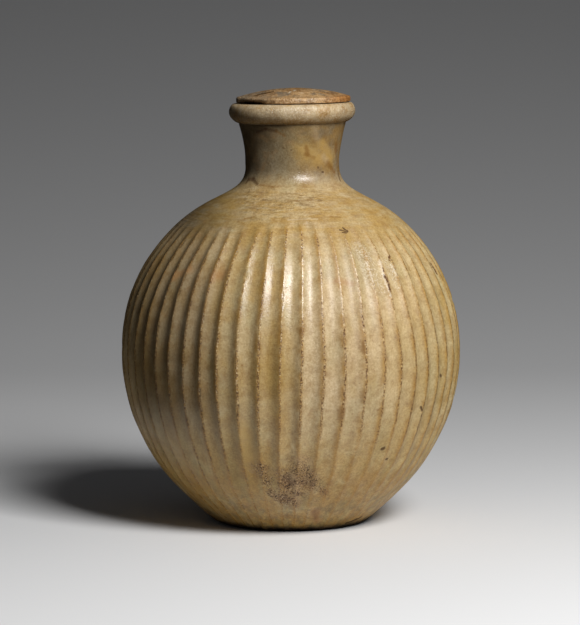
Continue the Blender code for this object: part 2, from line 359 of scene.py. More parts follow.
def dented(points):
    """How deep the listed dents are at each point: a bell round each dent's own place."""
    depth = np.zeros(points.shape[:-1])
    for pixel, reach, deep in BOTTLE_DENTS.values():
        depth += deep * bump(np.linalg.norm(points - seen_at(pixel), axis=-1), reach)
    return depth


def fluted_rings():
    """The fluted body: the outline's radius less each flute's depth, the arrises' wear, the dents and a slight
    unevenness. Between two arrises the section is a mix of a parabola and a cosine wave, the more of the wave the
    farther right, so that the right wall turns over softly into its arris. It is as deep for its width all the way
    up, deeper in front, shallower at the right and worn low on the left. It fades towards the base and ends above
    in a scoop, crisp at the front and soft elsewhere. The arrises wander a little, lean back high on the right, and
    are worn and chipped."""
    radius, height = resample(*body_curve(), BODY_STEP)
    rows = len(radius)
    even = np.arange(POINTS_PER_FLUTE) / POINTS_PER_FLUTE
    across = np.tile(even - SECTION_CROWDING * np.sin(2.0 * math.pi * even) / (2.0 * math.pi), FLUTES)
    flute = np.repeat(np.arange(FLUTES), POINTS_PER_FLUTE)
    wander = sum(far * along_arrises(rows, length, seed) for far, length, seed in WANDERS)
    turn = (arris_azimuths() + math.pi) % (2.0 * math.pi) - math.pi
    pull = SIDE_PULL * bump(turn - SIDE_AT, SIDE_REACH)[:, None] * ease((height - SIDE_FROM) / (SIDE_TO - SIDE_FROM))
    lines = arris_azimuths()[:, None] + pull + wander / radius + FLUTE_TWIST * (height - BELLY_HEIGHT)
    azimuth = lines[flute].T * (1.0 - across) + lines[flute + 1].T * across
    column = height[:, None]
    fade = FLUTE_FOOT_SHARE + (1.0 - FLUTE_FOOT_SHARE) * ease(column / FLUTE_FULL_HEIGHT) ** FOOT_FADE
    tops = SHOULDER_HEIGHT - TOPS_DIFFER * np.random.default_rng(TOPS_SEED).random(FLUTES)[flute]
    middles = turn[:-1] + math.pi / FLUTES
    crisp = bump(middles - CRISP_AT, CRISP_REACH)[flute]
    into_end = np.clip(1.0 - (tops - column) / (FLUTE_END * (SOFT_END + (1.0 - SOFT_END) * crisp)), 0.0, 1.0)
    turned_over = LEFT_WALL_ROUND + (RIGHT_WALL_ROUND - LEFT_WALL_ROUND) * across
    scoop = 4.0 * across * (1.0 - across) * (1.0 - turned_over)
    scoop += (1.0 - np.cos(2.0 * math.pi * across)) / 2.0 * turned_over
    bowl = crisp * np.maximum(scoop - into_end**2, 0.0) + (1.0 - crisp) * scoop * (1.0 - ease(into_end))
    hand = 1.0 + HAND[0] * along_arrises(rows, *HAND[1:])[flute].T
    deeper = 1.0 + FRONT_DEEPER * bump(middles - FRONT_AT, FRONT_REACH)[flute]
    deeper -= RIGHT_SHALLOWER * bump(middles - RIGHT_AT, RIGHT_REACH)[flute]
    worn_low = WORN_SHARE * (1.0 - ease((column - WORN_FROM) / (WORN_TO - WORN_FROM)))
    deeper = deeper * (1.0 - worn_low * bump(middles - WORN_AT, WORN_REACH)[flute])
    depth = FLUTE_DEPTH * radius[:, None] / BELLY_RADIUS * fade * hand * bowl * deeper
    to_arris = np.minimum(across, 1.0 - across) * radius[:, None] * 2.0 * math.pi / FLUTES
    nearest = np.where(across < 0.5, flute, flute + 1)
    chips = np.clip(along_arrises(rows, *CHIPS) - CHIP_ABOVE, 0.0, CHIP_MOST)
    chips *= np.clip(CHIPPED_SHARE + along_arrises(rows, *CHIPPED), 0.0, CHIPPED_MOST)
    ending = 1.0 - into_end**2
    worn = (ARRIS_WEAR + CHIP_DEPTH * chips[nearest].T) * bump(to_arris, ARRIS_REACH) * fade * ending
    smooth = place(radius[:, None], azimuth, column)
    uneven = sum(swell * waves(smooth, size, seed) for swell, size, seed in BODY_SWELLS) - BODY_SUNK - dented(smooth)
    points = place(radius[:, None] - depth - worn + uneven * ease(column / EVEN_BELOW), azimuth, column)
    arris = np.abs(1.0 - 2.0 * across) * ending
    side = np.sin(2.0 * math.pi * across) * ending
    return list(points), {"arris": list(arris), "side": list(side)}, azimuth[-1]


def plain_rings(radius, height, azimuth, uneven=0.0, shift=0.0, marked=False):
    """Rings of a plain turned stretch, with a slight hand-made unevenness of the given height, and with the listed
    dents where it is marked."""
    rings = []
    for ring_radius, ring_height in zip(radius, height):
        points = place(ring_radius, azimuth, ring_height)
        swell = uneven * sum(share * waves(points, size, seed) for share, size, seed in PLAIN_SWELLS) - uneven
        if marked:
            swell -= dented(points)
        points = place(ring_radius + swell, azimuth, ring_height)
        points[:, 0] += shift
        rings.append(points)
    return rings


def skin(name, rings, marks):
    """One closed skin from rings of points that all run the same way: four-sided faces between equal rings, a
    triangle more where the next ring has half the points, and a pole in the middle of the first and last ring.
    marks holds, for each named attribute, one value for each point of each ring."""
    points = np.concatenate([rings[0].mean(axis=0)[None], *rings, rings[-1].mean(axis=0)[None]])
    faces = []
    start = 1
    first = start + np.arange(len(rings[0]))
    faces += np.stack([np.zeros_like(first), np.roll(first, -1), first], axis=1).tolist()
    for low_ring, high_ring in zip(rings, rings[1:]):
        low = start + np.arange(len(low_ring))
        high = start + len(low_ring) + np.arange(len(high_ring))
        low_next, high_next = np.roll(low, -1), np.roll(high, -1)
        if len(low) == len(high):
            faces += np.stack([low, low_next, high_next, high], axis=1).tolist()
        else:
            faces += np.stack([low[::2], low[1::2], high], axis=1).tolist()
            faces += np.stack([low[1::2], low_next[1::2], high_next, high], axis=1).tolist()
        start += len(low_ring)
    last = start + np.arange(len(rings[-1]))
    faces += np.stack([last, np.roll(last, -1), np.full_like(last, len(points) - 1)], axis=1).tolist()
    mesh = bpy.data.meshes.new(name)
    mesh.from_pydata(points.tolist(), [], faces)
    for mark, by_ring in marks.items():
        values = np.concatenate([[0.0], *by_ring, [0.0]]).astype(np.float32)
        mesh.attributes.new(mark, "FLOAT", "POINT").data.foreach_set("value", values)
    mesh.shade_smooth()
    piece = bpy.data.objects.new(name, mesh)
    bpy.context.scene.collection.objects.link(piece)
    return piece


def keep_marks(piece):
    """Writes each kind of broad mark into the mesh: 2 on a mark's own line, 1 at its half-width, falling evenly."""
    mesh = piece.data
    bpy.context.view_layer.update()
    points = np.empty(3 * len(mesh.vertices), dtype=np.float32)
    mesh.vertices.foreach_get("co", points)
    points = points.reshape(-1, 3)
    for kind, marks in BROAD_MARKS.items():
        nearness = np.zeros(len(points))
        for start, end, width in marks.values():
            start, end = met(piece, start), met(piece, end)
            line = end - start
            along = np.clip((points - start) @ line / (line @ line), 0.0, 1.0)
            gap = np.linalg.norm(points - start - along[:, None] * line, axis=1)
            nearness = np.maximum(nearness, 2.0 - gap / width)
        mesh.attributes.new(kind, "FLOAT", "POINT").data.foreach_set("value", nearness.astype(np.float32))


def make_bottle():
    """The vessel as one skin: up the fluted outside, over the shoulder, neck and rim, down the bore to the floor."""
    rings, marks, azimuth = fluted_rings()
    coarse = azimuth[::2]
    radius, height = resample(*shoulder_curve(), NECK_STEP)
    rings += plain_rings(radius[1:], height[1:], coarse, PLAIN_UNEVEN, marked=True)
    radius, height = resample(*neck_curve(), NECK_STEP, CREASE_HEIGHT)
    radius -= CREASE_DEPTH * bump(height - CREASE_HEIGHT, CREASE_REACH)
    rings += plain_rings(radius[1:], height[1:], coarse, PLAIN_UNEVEN, marked=True)
    inner = coarse[::2]
    rings += plain_rings([BORE_RADIUS + MOUTH_EASE, BORE_RADIUS], [SEAT_HEIGHT, SEAT_HEIGHT - MOUTH_EASE], inner)
    rings += plain_rings(*hollow_curve(), inner)
    for by_ring in marks.values():
        by_ring += [np.zeros(len(ring)) for ring in rings[len(by_ring) :]]
    bottle = skin("fluted_bottle", rings, marks)
    keep_marks(bottle)
    return bottle


def make_lid():
    """The lid as one skin: the boss, the flat underside, an edge of two quarter circles, and a dome that falls with
    the square of the radius. Its chips are bells pushed in towards the axis."""
    bottom = SEAT_HEIGHT + LID_GAP
    boss = BORE_RADIUS - LID_SHIFT - BOSS_CLEARANCE
    angle = np.linspace(0.0, math.pi / 2, LID_EDGE_RINGS)
    radius = np.concatenate([
        [boss * 0.5, boss - LID_EDGE_UNDER, boss, boss, LID_RADIUS - LID_EDGE_UNDER],
        LID_RADIUS - LID_EDGE_UNDER * (1.0 - np.sin(angle)),
        LID_RADIUS - LID_EDGE_OVER * (1.0 - np.cos(angle)),
    ])
    height = bottom + np.concatenate([
        [-BOSS_DEPTH, -BOSS_DEPTH, LID_EDGE_UNDER - BOSS_DEPTH, 0.0, 0.0],
        LID_EDGE_UNDER * (1.0 - np.cos(angle)),
        LID_EDGE - LID_EDGE_OVER * (1.0 - np.sin(angle)),
    ])
    share = np.linspace(1.0, LID_POLE, LID_RINGS)
    radius = np.append(radius, (LID_RADIUS - LID_EDGE_OVER) * share)
    height = np.append(height, bottom + LID_EDGE + LID_DOME * (1.0 - share**2))
    azimuth = 2.0 * math.pi * np.arange(LID_POINTS) / LID_POINTS
    rings = []
    for ring_radius, ring_height in zip(radius, height):
        chipped = np.zeros(LID_POINTS)
        for degrees, up, width, tall, deep in LID_CHIPS.values():
            aside = (azimuth - math.radians(degrees) + math.pi) % (2.0 * math.pi) - math.pi
            gap = np.hypot(aside * LID_RADIUS / width, (ring_height - bottom - up) / tall)
            chipped += deep * bump(gap**2, 1.0) * ease((ring_radius - boss) / BOSS_EASE)
        rings.append(plain_rings([ring_radius - chipped], [ring_height], azimuth, LID_UNEVEN, LID_SHIFT)[0])
    return skin("domed_lid", rings, {})


def node(tree, kind, inputs=None, **settings):
    """One shader node: settings are its own properties, inputs its sockets' values or what feeds them."""
    made = tree.nodes.new(kind)
    for name, value in settings.items():
        setattr(made, name, value)
    for name, value in (inputs or {}).items():
        if isinstance(value, bpy.types.NodeSocket):
            tree.links.new(value, made.inputs[name])
        else:
            made.inputs[name].default_value = value
    return made


def maths(tree, operation, *values, **settings):
    """A number worked out from others."""
    return node(tree, "ShaderNodeMath", dict(enumerate(values)), operation=operation, **settings).outputs[0]


def vectors(tree, operation, *values, put=0):
    """A vector, or a number with put="Value", worked out from vectors."""
    return node(tree, "ShaderNodeVectorMath", dict(enumerate(values)), operation=operation).outputs[put]


def times(tree, *factors):
    """The product of several masks or numbers."""
    product = factors[0]
    for factor in factors[1:]:
        product = maths(tree, "MULTIPLY", product, factor)
    return product


def plus(tree, value, factor, height):
    """A height with a number of times a mask added to it."""
    return maths(tree, "MULTIPLY_ADD", value, factor, height)


def between(tree, value, low, high):
    """A mask that grows smoothly from 0 at `low` to 1 at `high`."""
    inputs = {"Value": value, "From Min": low, "From Max": high}
    return node(tree, "ShaderNodeMapRange", inputs, interpolation_type="SMOOTHSTEP").outputs["Result"]


def graded(tree, mask, without, within):
    """A number that goes from one value to another with a mask."""
    return node(tree, "ShaderNodeMapRange", {"Value": mask, "To Min": without, "To Max": within}).outputs["Result"]


def noise(tree, place, scale, detail, roughness=0.5):
    """Soft random values between 0 and 1."""
    inputs = {"Vector": place, "Scale": scale, "Detail": detail, "Roughness": roughness}
    return node(tree, "ShaderNodeTexNoise", inputs).outputs["Fac"]


def lay(tree, under, colour, mask, blend="MIX"):
    """A colour laid over another one where the mask says."""
    under, colour = (value if isinstance(value, bpy.types.NodeSocket) else (*value, 1.0) for value in (under, colour))
    return node(tree, "ShaderNodeMix", {0: mask, 6: under, 7: colour}, data_type="RGBA", blend_type=blend).outputs[2]


def group(name, places, numbers, results):
    """An empty shader group, and the two nodes at its ends: places and numbers go in, and results come out."""
    made = bpy.data.node_groups.new(name, "ShaderNodeTree")
    for socket in places:
        made.interface.new_socket(name=socket, in_out="INPUT", socket_type="NodeSocketVector")
    for socket in numbers:
        made.interface.new_socket(name=socket, in_out="INPUT", socket_type="NodeSocketFloat")
    for socket in results:
        made.interface.new_socket(name=socket, in_out="OUTPUT", socket_type="NodeSocketFloat")
    return made, made.nodes.new("NodeGroupInput").outputs, made.nodes.new("NodeGroupOutput").inputs


def cloud_group():
    """Soft patches: noise of a given size, turned to a mask between a low and a high level."""
    made, given, put = group("cloud", ["Place"], ["Size", "Low", "High"], ["Mask"])
    patches = noise(made, given["Place"], maths(made, "DIVIDE", 1.0, given["Size"]), 4.0, 0.6)
    made.links.new(between(made, patches, given["Low"], given["High"]), put["Mask"])
    return made


def mark_group():
    """A spot or stroke: 1 near the straight line from Start to End, with an edge that is as soft as Soft says and
    pushed in and out by Ragged. The distance from the line is the root of |away|^2 - 2 share reach + share^2 whole,
    worked out from numbers, because the renderer runs out of room when it keeps a vector more for every mark."""
    made, given, put = group("mark", ["Place", "Start", "End"], ["Width", "Soft", "Ragged"], ["Mask"])
    away = vectors(made, "SUBTRACT", given["Place"], given["Start"])
    line = vectors(made, "SUBTRACT", given["End"], given["Start"])
    reach = vectors(made, "DOT_PRODUCT", away, line, put="Value")
    whole = vectors(made, "DOT_PRODUCT", line, line, put="Value")
    share = maths(made, "DIVIDE", reach, whole, use_clamp=True)
    straight = vectors(made, "DOT_PRODUCT", away, away, put="Value")
    less = plus(made, reach, -2.0, maths(made, "MULTIPLY", share, whole))
    gap = maths(made, "SQRT", plus(made, less, share, straight))
    ragged = maths(made, "ADD", maths(made, "DIVIDE", gap, given["Width"]), given["Ragged"])
    outer = maths(made, "ADD", 1.0, given["Soft"])
    inner = maths(made, "SUBTRACT", 1.0, given["Soft"])
    made.links.new(between(made, ragged, outer, inner), put["Mask"])
    return made


def grain_group():
    """The stone's sugary surface: a height for the bump, and a mottle for the colour, from noise of a given size with
    small round pits in it."""
    made, given, put = group("grain", ["Place"], ["Size"], ["Height", "Mottle"])
    scale = maths(made, "DIVIDE", 1.0, given["Size"])
    mottle = noise(made, given["Place"], scale, 3.0, 0.7)
    cells = node(made, "ShaderNodeTexVoronoi", {"Vector": given["Place"], "Scale": scale}).outputs["Distance"]
    pits = node(made, "ShaderNodeMapRange", {"Value": cells, "From Min": 0.0, "From Max": 0.4}).outputs[0]
    made.links.new(plus(made, pits, 0.5, mottle), put["Height"])
    made.links.new(mottle, put["Mottle"])
    return made


CLOUD, MARK, GRAIN = cloud_group(), mark_group(), grain_group()

# Colours of the bottle's stone, linear
HONEY = (0.445, 0.308, 0.120)
PALE = (0.590, 0.463, 0.268)
CREAM = (0.705, 0.552, 0.348)
SAGE = (0.370, 0.300, 0.135)
GOLD = (0.470, 0.295, 0.085)
UMBER = (0.170, 0.120, 0.066)
SLATE = (0.260, 0.215, 0.145)
STAIN = (0.185, 0.080, 0.012)
RUST = (0.360, 0.185, 0.070)
AMBER = (0.430, 0.235, 0.048)
SOOT = (0.072, 0.030, 0.005)
CRUSTED = (0.060, 0.022, 0.004)
EARTH = (0.240, 0.118, 0.036)
SANDY = (0.620, 0.420, 0.210)
# painted shade on the left of the neck
PAINTED_SHADE_OLIVE = (0.176, 0.148, 0.103)
BEIGE = (0.620, 0.482, 0.298)
WHITISH = (0.800, 0.700, 0.520)
TAWNY = (0.250, 0.155, 0.060)
ARRIS_LINE_DARK = (0.120, 0.075, 0.020)
DOTTED = (0.120, 0.048, 0.006)
BROKEN = (0.095, 0.032, 0.0)
GLINT = (0.860, 0.680, 0.400)
LIT = (0.950, 0.780, 0.540)

# Kinds of fine mark: softness of the edge, how far it is frayed, strength, colour
PIT = (0.55, 1.2, 0.90, SOOT)
VEIN = (0.90, 1.3, 0.75, SOOT)
BREAK = (0.75, 4.5, 0.95, BROKEN)
# painted highlight: whitish glints on chipped faces and on the lid
PAINTED_GLINT = (0.90, 5.0, 0.52, WHITISH)
FAINT_VEIN = (0.95, 1.8, 0.45, STAIN)
# painted highlight: a pale thin line along a groove's edge
HIGHLIGHT_LINE = (0.95, 1.6, 0.28, WHITISH)

# Fine marks on the bottle: from and to, in the photograph's pixels, half-width in metres, and kind
FINE_MARKS = {
    "bird's foot, left toe": ((340, 230), (347, 232), 0.00040, PIT),
    "bird's foot, right toe": ((343, 228), (347.5, 231), 0.00040, PIT),
    "bird's foot, heel": ((342.5, 232.5), (346, 233), 0.00036, PIT),
    "stain on the neck": ((305, 154), (314, 158), 0.0006, FAINT_VEIN),
    "pits on the neck's right, upper": ((318, 167), (318, 168), 0.00030, PIT),
    "pits on the neck's right, lower": ((322, 172), (323, 172), 0.00040, PIT),
    "vein at the neck's foot, rise": ((246, 183), (248.5, 179.5), 0.0005, VEIN),
    "vein at the neck's foot, top": ((248.5, 179.5), (253, 179), 0.0009, VEIN),
    "vein at the neck's foot, fall": ((253, 179), (257.5, 184), 0.0007, VEIN),
    "vein high on the neck, left": ((257, 132), (266, 129), 0.0006, VEIN),
    "vein high on the neck, middle": ((266, 129), (276, 131), 0.0006, VEIN),
    "vein high on the neck, right": ((276, 131), (285, 136), 0.0005, FAINT_VEIN),
    "pit on the neck, left": ((283, 148), (284, 148), 0.00024, VEIN),
    "pit on the neck, middle": ((291, 150), (292, 150), 0.00022, VEIN),
    "dark edge at the neck's foot": ((338, 172), (340, 180), 0.0006, VEIN),
    "vein on the shoulder, left": ((286, 200), (297, 201), 0.0006, FAINT_VEIN),
    "vein on the shoulder, right": ((297, 201), (313, 200), 0.0007, FAINT_VEIN),
    "line round the neck's foot, left": ((260, 185), (273, 187), 0.0005, FAINT_VEIN),
    "line round the neck's foot, right": ((273, 187), (306, 187), 0.0005, FAINT_VEIN),
    # painted highlight along the guide line's edge
    "guide line, painted highlight": ((288, 220), (317, 219), 0.00035, HIGHLIGHT_LINE),
    "guide line, dark part": ((312, 218), (340, 217), 0.00040, FAINT_VEIN),
    "nick at a flute's top": ((245, 219), (253, 217), 0.0006, FAINT_VEIN),
    "pit in a front flute": ((305, 310), (305, 311), 0.00028, FAINT_VEIN),
    "dark middle of the rust spot": ((314, 511), (316, 518), 0.0009, FAINT_VEIN),
    "stain on a far right arris": ((431, 264), (437, 274), 0.0005, BREAK),
    "line along a right arris": ((403, 257), (409, 268), 0.0004, FAINT_VEIN),
    "right spot, upper": ((440, 375), (441, 376), 0.0006, PIT),
    "right spot, lower": ((421, 407), (422, 410), 0.0005, PIT),
    # painted glints on the faces of the broken arrises
    "painted glint on the face beside it": ((380, 261), (383.5, 275), 0.00050, PAINTED_GLINT),
    "painted glint on the next arris's face": ((391, 265), (395, 273), 0.00050, PAINTED_GLINT),
    "painted glint on the middle face": ((383, 275), (386.5, 284), 0.00045, PAINTED_GLINT),
    "painted glint on a face lower down": ((387, 286), (391, 297), 0.00040, PAINTED_GLINT),
    "painted glint on the front arris's face": ((366, 262), (373, 282), 0.00035, PAINTED_GLINT),
    "break in the right arris, upper": ((383, 268), (384, 271.5), 0.00030, BREAK),
    "break in the right arris, middle": ((384.5, 276), (388.5, 283), 0.00050, BREAK),
    "break in the right arris, lower": ((388.5, 285), (390, 290), 0.00036, BREAK),
    "break in the next arris": ((389, 257), (390.5, 262), 0.00036, BREAK),
    "right speck": ((382, 449), (384, 448), 0.0007, PIT),
    "right speck, lower": ((386, 459), (387, 459), 0.0005, PIT),
    # painted shade: a dark line along the base's right front edge, where it meets the floor
    "painted shade along the base's edge": ((346, 523), (361, 517), 0.0006, PIT),
}

# Broad soft marks, kept by the mesh as one attribute for each kind: from, to and half-width, as above
BROAD_MARKS = {
    "rust": {
        "in a left flute": ((214, 276), (222, 274), 0.0020),
        "left of it": ((174, 276), (188, 270), 0.0016),
        "over the base": ((314, 510), (317, 521), 0.0016),
        "across two flutes": ((335, 281), (352, 284), 0.0012),
    },
    "stain": {
        "at the neck's right": ((328, 163), (334, 172), 0.0010),
        "dark edge of the neck": ((336, 145), (336, 151), 0.0010),
        "in the neck's golden patch": ((306, 147), (308, 155), 0.0007),
        "on a front arris": ((343, 410), (340, 420), 0.0012),
        "above it on the arris": ((363, 342), (364, 353), 0.0006),
        "on the next arris": ((363, 392), (362, 400), 0.0011),
        "beside an arris": ((301, 330), (300, 342), 0.0009),
    },
    "shade": {
        "left on the neck, upper": ((256, 136), (255, 152), 0.0015),
        "left on the neck, lower": ((254, 150), (258, 166), 0.0013),
        "under the neck's upper vein": ((264, 133), (274, 134), 0.0013),
    },
    "golden": {
        "on the neck": ((303, 150), (318, 156), 0.0034),
        "to its right": ((322, 146), (331, 158), 0.0026),
        "low on the left": ((245, 432), (250, 456), 0.0034),
    },
    "pale": {
        "on the neck, upper": ((315, 128), (317, 138), 0.0015),
        "on the neck, lower": ((323, 156), (327, 161), 0.0011),
    },
    "sandy": {
        "on top of the crust": ((300, 460), (308, 464), 0.0020),
        "down through the crust": ((295, 477), (298, 500), 0.0012),
    },
    "dark": {
        "crust, left": ((286, 477), (290, 484), 0.0018),
        "crust, right": ((303, 483), (311, 484), 0.0016),
        "crust, lower": ((285, 496), (288, 500), 0.0012),
        "crust, between": ((295, 493), (302, 494), 0.0010),
    },
    "crust": {
        "left, thin": ((260, 467), (268, 482), 0.0022),
        "left, low": ((271, 491), (277, 498), 0.0018),
        "middle": ((286, 476), (288, 500), 0.0034),
        "right": ((299, 468), (309, 485), 0.0040),
        "below it": ((295, 492), (303, 495), 0.0020),
        "right specks": ((320, 489), (325, 493), 0.0014),
    },
    "granular": {
        "over the right arrises": ((362, 250), (380, 288), 0.0034),
        "on the next arris": ((386, 262), (397, 284), 0.0020),
        "rim, left": ((268, 112), (300, 110), 0.0016),
        "rim, right": ((300, 110), (345, 108), 0.0022),
    },
}

# How the broad kinds that only colour the stone look: softness of the edge, how far it is frayed, strength, colour
BROAD_LOOKS = {
    "golden": (0.95, 2.2, 0.62, GOLD),
    "shade": (0.95, 1.8, 0.50, UMBER),
    "pale": (0.95, 2.6, 0.12, WHITISH),
    "sandy": (0.95, 3.0, 0.45, SANDY),
    "rust": (0.95, 2.2, 0.62, RUST),
    "stain": (0.95, 2.2, 0.65, STAIN),
    "dark": (0.95, 2.0, 0.74, CRUSTED),
}


# Looks of the two broad kinds that do more than colour the stone: softness of the edge, and how far it is frayed
CRUST_EDGE = (0.95, 2.6)
GRANULAR_EDGE = (0.8, 1.5)

# How patches are drawn out: the scale of the place along each axis
EVEN = (1.0, 1.0, 1.0)
UPRIGHT = (1.0, 1.0, 0.4)
STREAKED = (1.0, 1.0, 0.12)
LEVEL = (0.45, 0.45, 2.8)
TURNED = (0.12, 0.12, 6.0)
ASIDE = (1.0, -1.0, 0.9)

# Zones of the bottle: each limit is what it reads, in metres or as an attribute has it, where it is 0 and where it is
# 1. A name is another zone that this one lies in.
BOTTLE_ZONES = {
    "below the neck": [("up", WAIST_HEIGHT - 0.004, WAIST_HEIGHT - 0.012)],
    "shoulder": [("up", SHOULDER_HEIGHT - 0.014, SHOULDER_HEIGHT + 0.002), "below the neck"],
    # painted shade: the left of the shoulder
    "shoulder, left": ["shoulder", ("across", -0.006, -0.030)],
    "neck's foot": [("up", SHOULDER_HEIGHT - 0.004, SHOULDER_HEIGHT + 0.005), "below the neck",
                    ("across", -0.024, -0.014), ("across", 0.024, 0.012)],
    "neck": [("up", WAIST_HEIGHT - 0.010, WAIST_HEIGHT)],
    # where painted shade darkens the neck
    "neck, left": ["neck", ("across", 0.006, -0.014)],
    "neck, middle": ["neck", ("across", -0.013, -0.003)],
    "neck, right": ["neck", ("across", -0.004, 0.013)],
    "rim": [("up", CREASE_HEIGHT - 0.0005, CREASE_HEIGHT + 0.0005)],
    "front right": [("across", -0.006, 0.016), ("across", 0.054, 0.036), ("up", 0.038, 0.060), ("up", 0.106, 0.088)],
    # painted shade: the left flank above the foot, where the lamp's light falls off
    "left": [("across", -0.021, -0.038), ("across", -0.065, -0.055), ("up", 0.034, 0.056)],
    "right half": [("across", 0.024, 0.042)],
    "right": [("across", 0.038, 0.054)],
    "far right": [("across", 0.036, 0.062)],
    "right edge": [("across", 0.046, 0.058)],
    "low": [("up", 0.054, 0.014)],
    "low, left": ["low", ("across", 0.002, -0.016), ("up", 0.012, 0.024)],
    "low, not left": ["low", ("across", -0.030, -0.008)],
    "foot": [("up", 0.026, 0.006)],
    "foot, left": ["foot", ("across", 0.020, 0.004)],
    # painted shade: the bottom few millimetres and the underside, darkened where the base meets the floor
    "painted shade under the base": [("frayed height", 0.0030, 0.0005)],
    # the right wall of each flute beside its arris, where stain and painted shade are laid
    "stain and painted shade by an arris": [("arris", 0.30, 0.90), ("side", 0.05, -0.45)],
    "dark lines on the right arrises": [("arris", 0.80, 0.97), "right"],
    "arrises, broad": [("arris", 0.60, 0.95)],
    "arrises, dirty": [("arris", 0.84, 0.98), "dirt"],
    "arrises, dotted": [("arris", 0.80, 0.95)],
    "arrises, glinting": [("arris", 0.84, 0.97), ("up", 0.040, 0.060)],
    "arrises, lit": [("arris", 0.88, 0.98), ("across", 0.002, 0.006), ("across", 0.034, 0.028),
                     ("up", 0.084, 0.095), ("up", 0.114, 0.107)],
    "arrises, rubbed": [("arris", 0.82, 0.96)],
    "mid height": [("up", 0.034, 0.048), ("up", 0.090, 0.076)],
    "clean": [("across", -0.022, 0.004), ("up", 0.046, 0.026)],
    "polished": [("across", 0.016, 0.002)],
    "dull": [("paleness", 0.130, 0.060)],  # dirt and broken places lose their polish
}

# Layers of colour in their order: how they are laid, colour, strength, the zones that hold them, and the patches that
# they come in: size in metres, the noise where they are 0 and where they are 1, and how they are drawn out
LAID, TONED = "MIX", "MULTIPLY"  # over the colour that is there, or multiplied with it
BOTTLE_STONE = [
    (LAID, PALE, 1.0, [], (0.024, 0.36, 0.58, UPRIGHT)),
    (LAID, SAGE, 0.42, [], (0.012, 0.46, 0.64, UPRIGHT)),
    (LAID, GOLD, 0.36, [], (0.010, 0.46, 0.62)),
    (LAID, CREAM, 0.75, ["front right"], (0.018, 0.28, 0.54, UPRIGHT)),
    (LAID, GOLD, 0.75, ["shoulder"], (0.007, 0.36, 0.62, LEVEL)),
    (LAID, PALE, 0.50, ["shoulder"], (0.005, 0.52, 0.70, LEVEL)),
    (LAID, AMBER, 0.26, ["shoulder"], (0.0026, 0.50, 0.66, LEVEL)),
    (LAID, TAWNY, 0.70, ["neck's foot"], (0.0022, 0.50, 0.64, LEVEL)),
    (LAID, PALE, 0.75, ["neck's foot"], (0.0017, 0.52, 0.64, LEVEL)),
    (LAID, PALE, 0.70, ["far right"], (0.014, 0.36, 0.60)),
    (LAID, GOLD, 0.75, ["low"], (0.008, 0.30, 0.58)),
    (LAID, AMBER, 0.40, ["low"], (0.0036, 0.50, 0.66, STREAKED)),
    (LAID, SAGE, 0.55, ["low"], (0.0060, 0.46, 0.62, STREAKED)),
    (LAID, UMBER, 0.50, ["foot"], (0.0022, 0.46, 0.62, STREAKED)),
    (LAID, SLATE, 0.50, ["neck"], None),
    (LAID, GOLD, 0.75, ["neck, right"], (0.007, 0.36, 0.60)),
    (TONED, (0.80, 0.73, 0.67), 1.0, ["neck, right"], None),
    (TONED, (0.81, 0.84, 0.88), 1.0, ["neck, middle"], None),
    # painted shade: the left of the neck, where the lamp's light does not reach
    (LAID, PAINTED_SHADE_OLIVE, 0.72, ["neck, left"], (0.008, 0.15, 0.55)),
    (LAID, BEIGE, 0.88, ["rim"], None),
    (LAID, AMBER, 0.56, ["rim"], (0.0050, 0.46, 0.62)),
]
BOTTLE_ARRISES = [
    # amber on each flute's right wall: a stain, and painted shade that deepens the flutes
    (LAID, AMBER, 0.72, ["stain and painted shade by an arris"], (0.009, 0.36, 0.58)),
    # thin dark lines along the arrises on the right
    (LAID, ARRIS_LINE_DARK, 0.75, ["dark lines on the right arrises"], (0.010, 0.40, 0.56, UPRIGHT)),
    (LAID, AMBER, 0.45, ["arrises, broad"], (0.006, 0.40, 0.60)),
    (LAID, AMBER, 0.45, ["arrises, dirty"], None),
    (LAID, DOTTED, 0.95, ["dots"], None),
    (LAID, GLINT, 0.60, ["arrises, glinting"], (0.0008, 0.53, 0.62, ASIDE)),
    (LAID, LIT, 0.75, ["arrises, lit"], (0.0010, 0.46, 0.56, ASIDE)),
]
BOTTLE_TONES = [
    (TONED, (0.72, 0.64, 0.54), 0.55, [], (0.0040, 0.42, 0.68)),
    (TONED, (0.70, 0.64, 0.555), 0.65, ["mottle"], None),
    (TONED, (0.84, 0.80, 0.74), 0.60, ["speckle"], None),
    (TONED, (1.00, 0.96, 0.80), 1.0, ["low"], None),
    (TONED, (1.08, 1.08, 1.06), 1.0, ["low, not left"], None),
    (TONED, (1.06, 1.11, 1.36), 1.0, ["foot, left"], None),
    (TONED, (1.00, 0.98, 0.88), 1.0, ["right half"], None),
    (TONED, (1.04, 1.09, 1.17), 1.0, ["right edge"], None),
    (TONED, (0.97, 0.93, 0.70), 1.0, ["low, left"], None),
    # painted shade, darkening the left flank
    (TONED, (0.61, 0.59, 0.59), 1.0, ["left"], None),
    # painted shade, darkening the left of the shoulder
    (TONED, (0.78, 0.83, 0.93), 1.0, ["shoulder, left"], None),
    # painted shade under the base
    (TONED, (0.06, 0.05, 0.04), 1.0, ["painted shade under the base"], None),
    (LAID, STAIN, 0.50, [], (0.0011, 0.63, 0.70)),
]
BOTTLE_CRUST = [
    (LAID, EARTH, 0.50, ["crust"], None),
    (LAID, SANDY, 0.70, ["crust"], (0.0007, 0.54, 0.60, ASIDE)),
    (LAID, CRUSTED, 0.95, ["crust", "crumbs"], None),
    (TONED, (0.80, 0.72, 0.60), 0.50, ["low", "crumbs"], None),
    # whitish specks where the stone is granular: pale grain, and painted glints over the highlights of the right
    # arrises and the rim
    (LAID, WHITISH, 0.45, ["granular"], (0.0007, 0.52, 0.60)),
]

